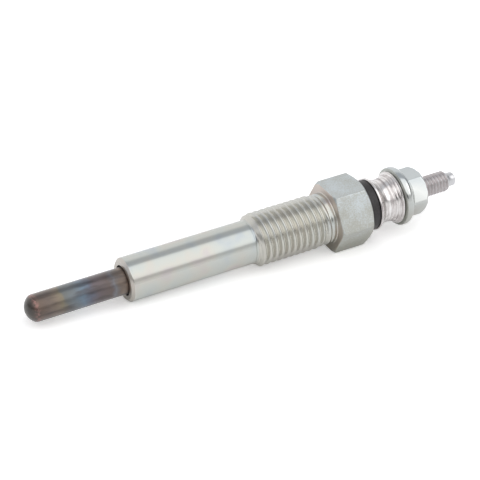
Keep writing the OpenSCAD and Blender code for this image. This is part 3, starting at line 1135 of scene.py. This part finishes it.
@dataclass
class Terminal(SubAssembly):
    """The screw terminal: the pole's threaded rear end and the flange nut."""

    pole: Span
    nut: Span
    sheath_end: float
    thread: Thread
    spigot_r: float = 0.75
    spigot_l: float = 2.0
    front_r: float = 1.5
    step_gap: float = 1.0
    pole_r: float = 1.75
    pole_rounding: float = 0.1
    point_cone_l: float = 0.9
    # How far the grooves' painted shade reaches on the point's cone
    cone_groove_l: float = 0.3
    point_r: float = 1.3
    point_l: float = 1.25
    point_chamfer: float = 0.2
    nut_flats: float = 8.0
    nut_turn: float = -4.0
    nut_edge_r: float = 0.2
    nut_cut: float = 0.6
    nut_bore_r: float = 2.05
    nut_mouth: float = 0.25
    nut_fillet: float = 0.06
    nut_rounding: float = 0.2
    nut_steps: int = 8
    flange_rim: float = 1.3
    flange_edge: float = 0.52
    flange_slope: float = 1.29
    # How dull the nut's front edge is and how far that reaches; the mark also darkens it with the cut
    # colours, as painted shade that is darkest at the bottom
    front_dull_and_shade: float = 0.7
    front_dull_and_shade_l: float = 0.2
    edge_break: float = 0.08
    columns: int = 96

    def pole_surface(self) -> Turned:
        """Works out the pole.

        In front it steps down to the spigot that the coil is welded to. Behind the nut's face it has the
        stud's thread, root + (crest - root) times the ridge's height, under the cone of the point.

        Returns:
            The surface, with its groove depth marked.
        """
        n = self.columns
        phi = round_angles(n)
        start, end = self.pole.start, self.pole.end
        spigot_x = start + self.spigot_l
        step_x = self.sheath_end + self.step_gap
        point_x = end - self.point_l
        cone_x = point_x - self.point_cone_l
        threaded_x = self.nut.end - self.thread.pitch
        crest_r = self.thread.crest_r
        front = soften(
            outline(
                n,
                (start, HUB_R),
                (start, self.spigot_r),
                (spigot_x, self.spigot_r),
                (spigot_x, self.front_r),
                (step_x, self.front_r),
                (step_x + self.pole_r - self.front_r, self.pole_r),
                (self.nut.start, self.pole_r),
                (self.nut.start, crest_r),
                (threaded_x, crest_r),
            ),
            self.pole_rounding,
        )
        x = self.thread.places(threaded_x, point_x)[1:]
        cone = crest_r + (self.point_r - crest_r) * (x - cone_x) / self.point_cone_l
        height = self.thread.height(x, phi)
        early = ease((x - threaded_x) / self.thread.pitch)
        root = crest_r + (self.thread.root_r - crest_r) * early
        ridge = np.minimum(root + (crest_r - root) * height, cone)
        turns = np.stack([x + 0.0 * ridge, ridge], axis=-1)
        rear = soften(
            outline(
                n,
                (point_x, self.point_r),
                (end - self.point_chamfer, self.point_r),
                (end, self.point_r - self.point_chamfer),
                (end, HUB_R),
            ),
            self.pole_rounding,
        )[1:]
        rows = np.concatenate([front, turns, rear])
        groove = np.zeros(rows.shape[:2])
        # Painted shade in the roots, strongest at the bottom of each groove and fading up its flanks
        dark = (1.0 - height) * early * (x < cone_x + self.cone_groove_l)
        groove[len(front) : len(front) + len(turns)] = dark
        return Turned(phi, rows, Ends.AXIS, {"groove": groove})

    def nut_surface(self) -> Turned:
        """Works out the flange nut.

        The flange falls away as a cone to the hexagon: it meets a point of radius r where the cone has come
        down to r. The rear corners are cut by a 45 degree cone.

        Returns:
            The surface, with its front edge marked as a cut: rougher, and darkened as painted shade.
        """
        bar = Hexagon(self.nut_flats, self.nut_edge_r, self.nut_turn)
        phi = bar.angles()
        hex_r = bar.radius(phi)
        start, end, out = self.nut.start, self.nut.end, self.nut.radius
        face_r = np.minimum(bar.corner_r - self.nut_cut, hex_r - self.edge_break)
        meet_x = start + self.flange_rim + (out - hex_r) / self.flange_slope
        rows = soften(
            outline(
                len(phi),
                (start, self.nut_bore_r),
                (start, out),
                (start + self.flange_rim, out),
                (meet_x, hex_r),
                (end - np.maximum(hex_r - face_r, self.edge_break), hex_r),
                (end, face_r),
                (end, self.nut_bore_r + self.nut_mouth),
                (end - self.nut_mouth, self.nut_bore_r),
                (start + self.edge_break, self.nut_bore_r),
            ),
            (self.flange_edge, self.flange_edge, self.nut_fillet, *(self.nut_rounding,) * 4),
            self.nut_steps,
        )
        cut = self.front_dull_and_shade * (rows[..., 0] < start + self.front_dull_and_shade_l)
        return Turned(phi, rows, Ends.LOOP, {"cut": cut})

    def build(self) -> None:
        """Builds the pole and the nut."""
        steel = PoleSteel(self.pole.end - self.point_l - self.point_cone_l)
        place_piece("pole_rolled", self.pole_surface(), steel, "centre_pole")
        # On the nut the film's shift by height paints a bright belt at mid height as painted highlight, with
        # painted shade above and below
        bright = ZincPlate(
            name="zinc_plate_bright_nut",
            film=("#c3c9cb", "#cacfd0", "#dbdddb", "#c3c6c4", "#bdbdb8"),
            film_mm=16.0,
            # The nut's cut colours paint shade on its front edge, darker at the bottom
            cut=("#b6b8b1", "#878b82"),
            film_tint_and_shade_per_mm=0.03,
            gloss=0.1,
        )
        place_piece("nut_turned", self.nut_surface(), bright, "flange_nut")


@dataclass
class Studio:
    """The white floor, the soft light all round and the camera."""

    rest_front: tuple[float, float]
    rest_rear: tuple[float, float]
    floor_half: float = 2000.0
    # Way over the top from the back horizon (0) to the front one (1), and the light's grey there
    sky: tuple[tuple[float, str], ...] = (
        (0.00, "#e2e2e2"),
        (0.24, "#e2e2e2"),
        (0.32, "#b4b6b9"),
        (0.45, "#b2b4b8"),
        (0.50, "#ffffff"),
        (0.84, "#ffffff"),
        (0.87, "#bcbcbc"),
        (0.925, "#bcbcbc"),
        (0.955, "#d6d6d6"),
        (1.00, "#d6d6d6"),
    )
    sky_strength: float = 1.27
    # The boxes leave dim gaps low down on both sides of the front one: their light, how much lower they
    # lie towards the back, the heights at which they end and are full, above and below, the front box's
    # way along X, and how far from it and from the back they end and are full
    gap_strength: float = 0.12
    gap_lean: float = 0.152
    gap_top: tuple[float, float] = (0.5, 0.25)
    gap_foot: tuple[float, float] = (0.03, 0.11)
    front_box: float = 0.39
    gap_side: tuple[float, float] = (0.2, 0.6)
    gap_back: tuple[float, float] = (0.85, 0.5)
    # One more box, in front on the right: where it ends and is full, on both sides along X, below and
    # towards the back, and its light
    fill_side: tuple[float, float] = (0.46, 0.6)
    fill_far: tuple[float, float] = (0.88, 0.68)
    fill_foot: tuple[float, float] = (0.2, 0.4)
    fill_back: tuple[float, float] = (-0.1, -0.4)
    fill_gain: float = 0.7
    aim: tuple[float, float, float] = (23.54, 0.0, 0.9)
    azimuth: float = -28.01
    elevation: float = 34.1
    roll: float = -0.626
    distance: float = 346.6
    lens: float = 143.67
    nearest: float = 10.0
    farthest: float = 10000.0

    def floor(self) -> None:
        """Lays the floor through the two edges that the plug rests on."""
        (front_x, front_z), (rear_x, rear_z) = self.rest_front, self.rest_rear
        slope = (rear_z - front_z) / (rear_x - front_x)
        side = np.array([-1.0, 1.0]) * self.floor_half
        x, y = np.meshgrid(side, side, indexing="ij")
        points = np.stack([x, y, front_z + slope * (x - front_x)], axis=-1).reshape(-1, 3)
        mesh = bpy.data.meshes.new("floor")
        mesh.from_pydata(points * MM, [], [(0, 2, 3, 1)])
        mesh.materials.append(WhitePaper().material())
        made = bpy.data.objects.new("floor", mesh)
        bpy.context.scene.collection.objects.link(made)

    def light(self) -> None:
        """Lights the scene by a sky of soft boxes.

        Its grey is a ramp over the angle from back to front. Its strength falls in the gaps, by the product
        of smooth steps: up and down again with the height, up with the way along X from the front box, and
        down towards the back. The box on the right adds to it, by the product of such steps along all three
        ways.
        """
        world = bpy.data.worlds.new("studio")
        world.use_nodes = True
        world.node_tree.nodes.clear()
        put = partial(add, world.node_tree)
        towards = put("TexCoord").outputs["Generated"]
        way = put("SeparateXYZ", {"Vector": towards}).outputs
        angle = put("Math", {0: way["Z"], 1: way["Y"]}, operation="ARCTAN2")
        share = put("Math", {0: angle, 1: math.pi}, operation="DIVIDE")
        grey = put("ValToRGB", {"Fac": share}, list(self.sky))
        beside = put("Math", {0: way["X"], 1: self.front_box}, operation="SUBTRACT")
        beside = put("Math", {0: beside}, operation="ABSOLUTE")
        high = put("Math", {0: way["Y"], 1: self.gap_lean, 2: way["Z"]}, operation="MULTIPLY_ADD")
        gap_steps = (
            (high, self.gap_top),
            (high, self.gap_foot),
            (beside, self.gap_side),
            (way["Y"], self.gap_back),
        )
        fill_steps = (
            (way["X"], self.fill_side),
            (way["X"], self.fill_far),
            (way["Z"], self.fill_foot),
            (way["Y"], self.fill_back),
        )
        patches = []
        for steps in (gap_steps, fill_steps):
            patch = 1.0
            for value, (none, full) in steps:
                step = put(
                    "MapRange",
                    {"Value": value, "From Min": none, "From Max": full},
                    interpolation_type="SMOOTHSTEP",
                )
                patch = put("Math", {0: patch, 1: step}, operation="MULTIPLY")
            patches.append(patch)
        gap, fill = patches
        lit = put("MapRange", {"Value": gap, "To Min": self.sky_strength, "To Max": self.gap_strength})
        gain = put("Math", {0: fill, 1: self.fill_gain, 2: 1.0}, operation="MULTIPLY_ADD")
        strength = put("Math", {0: lit, 1: gain}, operation="MULTIPLY")
        sky = put("Background", {"Color": grey, "Strength": strength})
        put("OutputWorld", {"Surface": sky})
        bpy.context.scene.world = world

    def camera(self) -> None:
        """Sets up the camera, turned round its own axis by the roll."""
        turn, rise, roll = (math.radians(a) for a in (self.azimuth, self.elevation, self.roll))
        back = Vector((math.sin(turn) * math.cos(rise), -math.cos(turn) * math.cos(rise), math.sin(rise)))
        right = Vector((0.0, 0.0, 1.0)).cross(back).normalized()
        level = Matrix((right, back.cross(right), back)).transposed().to_4x4()
        spot = Vector(self.aim) + back * self.distance
        data = bpy.data.cameras.new("camera")
        data.lens = self.lens
        data.clip_start = self.nearest * MM
        data.clip_end = self.farthest * MM
        made = bpy.data.objects.new("camera", data)
        bpy.context.scene.collection.objects.link(made)
        made.matrix_world = Matrix.Translation(spot * MM) @ level @ Matrix.Rotation(roll, 4, "Z")
        bpy.context.scene.camera = made

    def build(self) -> None:
        """Sets the stage."""
        bpy.context.scene.view_settings.view_transform = "Standard"
        self.floor()
        self.light()
        self.camera()


def main() -> None:
    """Builds the plug from the tip to the terminal, and the studio round it."""
    logging.basicConfig(level=logging.INFO, format="%(name)s: %(message)s")
    shell, tube, pole = (Span.of(node) for node in ("housing", "heater_sheath", "centre_pole"))
    mount = next(m for m in frame["record"]["mounts"] if m["name"] == "mounting_thread")
    middle, half = mount["pos_m"][0] / MM, mount["dims"]["length_mm"] / 2.0
    housing = Housing(
        span=shell,
        sheath=tube,
        thread=Thread(crest_r=mount["dims"]["r_mm"], pitch=1.25, turned=0.39),
        thread_start=middle - half,
        thread_end=middle + half,
    )
    stud_thread = Thread(crest_r=pole.radius, pitch=0.7, depth_share=0.3)
    assemblies = [
        housing,
        HeaterTube(tube),
        Insulation(Span.of("insulating_bush"), shell.end),
        Collar(Span.of("crimp_collar")),
        Terminal(pole, Span.of("flange_nut"), tube.end, stud_thread),
    ]
    for assembly in assemblies:
        assembly.build()
    Studio((housing.front_chamfer, -housing.shank_r), (housing.hex_x, -shell.radius)).build()


if __name__ == "__main__":
    main()
